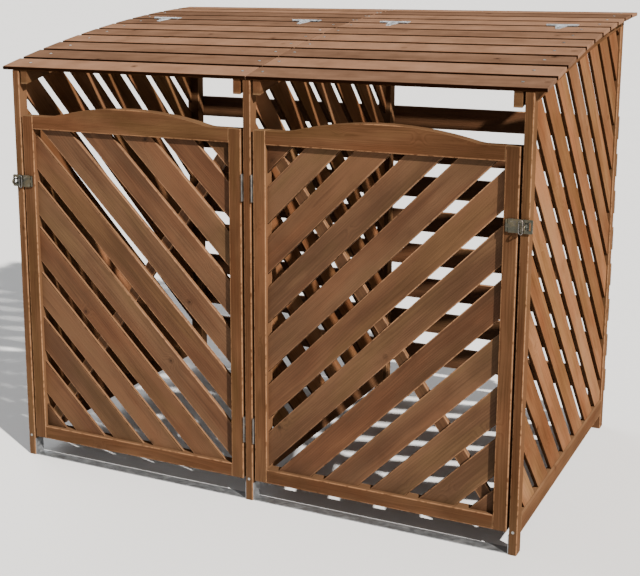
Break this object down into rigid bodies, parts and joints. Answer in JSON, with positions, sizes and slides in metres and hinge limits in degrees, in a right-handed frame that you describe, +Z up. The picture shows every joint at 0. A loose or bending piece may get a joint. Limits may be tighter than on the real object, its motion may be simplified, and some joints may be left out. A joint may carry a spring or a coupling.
{
  "type": "wheeled bin store",
  "caption": "Slatted timber refuse-bin store with hinged front doors, lift-up arched roof lids, diagonal boarded sides and partition, hasps and staples.",
  "frame": {"origin": "On the ground, below the middle of the bounding box.", "axes": "+X to the right along the front, +Y from the doors to the back, +Z up."},
  "size_m": [1.56, 1.0615, 1.3013],
  "materials": {
    "frame_timber": "brown-stained planed softwood, weathered",
    "board_timber": "brown-stained sawn softwood boards",
    "roof_timber": "brown-stained softwood slats, sun-bleached",
    "galvanised_steel": "galvanised, dull grey",
    "zinc_plated_steel": "passivated zinc, yellow-green, dulled"
  },
  "bodies": {
    "frame": {"arched_rail_left": "frame_timber", "arched_rail_middle": "frame_timber", "arched_rail_right": "frame_timber", "back_slats": "board_timber", "bottom_rail_left": "frame_timber", "bottom_rail_middle": "frame_timber", "bottom_rail_right": "frame_timber", "door_hinge_post_leaves": "galvanised_steel", "frame_screws": "galvanised_steel", "front_post_left": "frame_timber", "front_post_middle": "frame_timber", "front_post_right": "frame_timber", "hinge_pins": "galvanised_steel", "lid_hinge_rear_leaves": "galvanised_steel", "panel_boards_left": "board_timber", "panel_boards_middle": "board_timber", "panel_boards_right": "board_timber", "rear_post_left": "frame_timber", "rear_post_middle": "frame_timber", "rear_post_right": "frame_timber", "roof_screws": "galvanised_steel", "roof_slats_left": "roof_timber", "roof_slats_right": "roof_timber", "staple_left": "zinc_plated_steel", "staple_right": "zinc_plated_steel", "threshold_strip_left": "galvanised_steel", "threshold_strip_right": "galvanised_steel"},
    "lid_left": {"lid_slats_left": "roof_timber", "lid_batten_inner_left": "frame_timber", "lid_batten_outer_left": "frame_timber", "lid_hinge_leaves_left": "galvanised_steel", "lid_screws_left": "galvanised_steel"},
    "door_left": {"door_hinge_stile_left": "frame_timber", "door_latch_stile_left": "frame_timber", "door_top_rail_left": "frame_timber", "door_bottom_rail_left": "frame_timber", "door_boards_left": "board_timber", "door_brace_left": "board_timber", "door_hinge_leaves_left": "galvanised_steel", "hasp_base_left": "zinc_plated_steel", "hasp_screws_left": "zinc_plated_steel"},
    "leaf_left": {"hasp_leaf_left": "zinc_plated_steel"},
    "link_left": {"hasp_link_left": "galvanised_steel"},
    "lid_right": {"lid_slats_right": "roof_timber", "lid_batten_inner_right": "frame_timber", "lid_batten_outer_right": "frame_timber", "lid_hinge_leaves_right": "galvanised_steel", "lid_screws_right": "galvanised_steel"},
    "door_right": {"door_hinge_stile_right": "frame_timber", "door_latch_stile_right": "frame_timber", "door_top_rail_right": "frame_timber", "door_bottom_rail_right": "frame_timber", "door_boards_right": "board_timber", "door_brace_right": "board_timber", "door_hinge_leaves_right": "galvanised_steel", "hasp_base_right": "zinc_plated_steel", "hasp_screws_right": "zinc_plated_steel"},
    "leaf_right": {"hasp_leaf_right": "zinc_plated_steel"},
    "link_right": {"hasp_link_right": "galvanised_steel"}
  },
  "joints": [
    {"name": "lid_left_hinge", "type": "hinge", "parent": "frame", "child": "lid_left", "pos_m": [-0.395, 0.15251, 1.27488], "axis": [-1, 0, 0], "range_deg": [0, 110]},
    {"name": "lid_right_hinge", "type": "hinge", "parent": "frame", "child": "lid_right", "pos_m": [0.395, 0.15251, 1.27488], "axis": [-1, 0, 0], "range_deg": [0, 110]},
    {"name": "door_left_hinge", "type": "hinge", "parent": "frame", "child": "door_left", "pos_m": [-0.0145, -0.5033, 0.5355], "axis": [0, 0, 1], "range_deg": [0, 85]},
    {"name": "door_right_hinge", "type": "hinge", "parent": "frame", "child": "door_right", "pos_m": [0.0145, -0.5033, 0.5355], "axis": [0, 0, -1], "range_deg": [0, 85]},
    {"name": "hasp_left_pin", "type": "hinge", "parent": "door_left", "child": "leaf_left", "pos_m": [-0.695, -0.5052, 0.835], "axis": [0, 0, 1], "range_deg": [0, 100]},
    {"name": "hasp_right_pin", "type": "hinge", "parent": "door_right", "child": "leaf_right", "pos_m": [0.695, -0.5052, 0.835], "axis": [0, 0, -1], "range_deg": [0, 100]},
    {"name": "link_left_swing", "type": "hinge", "parent": "leaf_left", "child": "link_left", "pos_m": [-0.731, -0.5106, 0.847], "axis": [0, -1, 0], "range_deg": [-8, 75]},
    {"name": "link_right_swing", "type": "hinge", "parent": "leaf_right", "child": "link_right", "pos_m": [0.731, -0.5106, 0.847], "axis": [0, 1, 0], "range_deg": [-8, 75]}
  ]
}
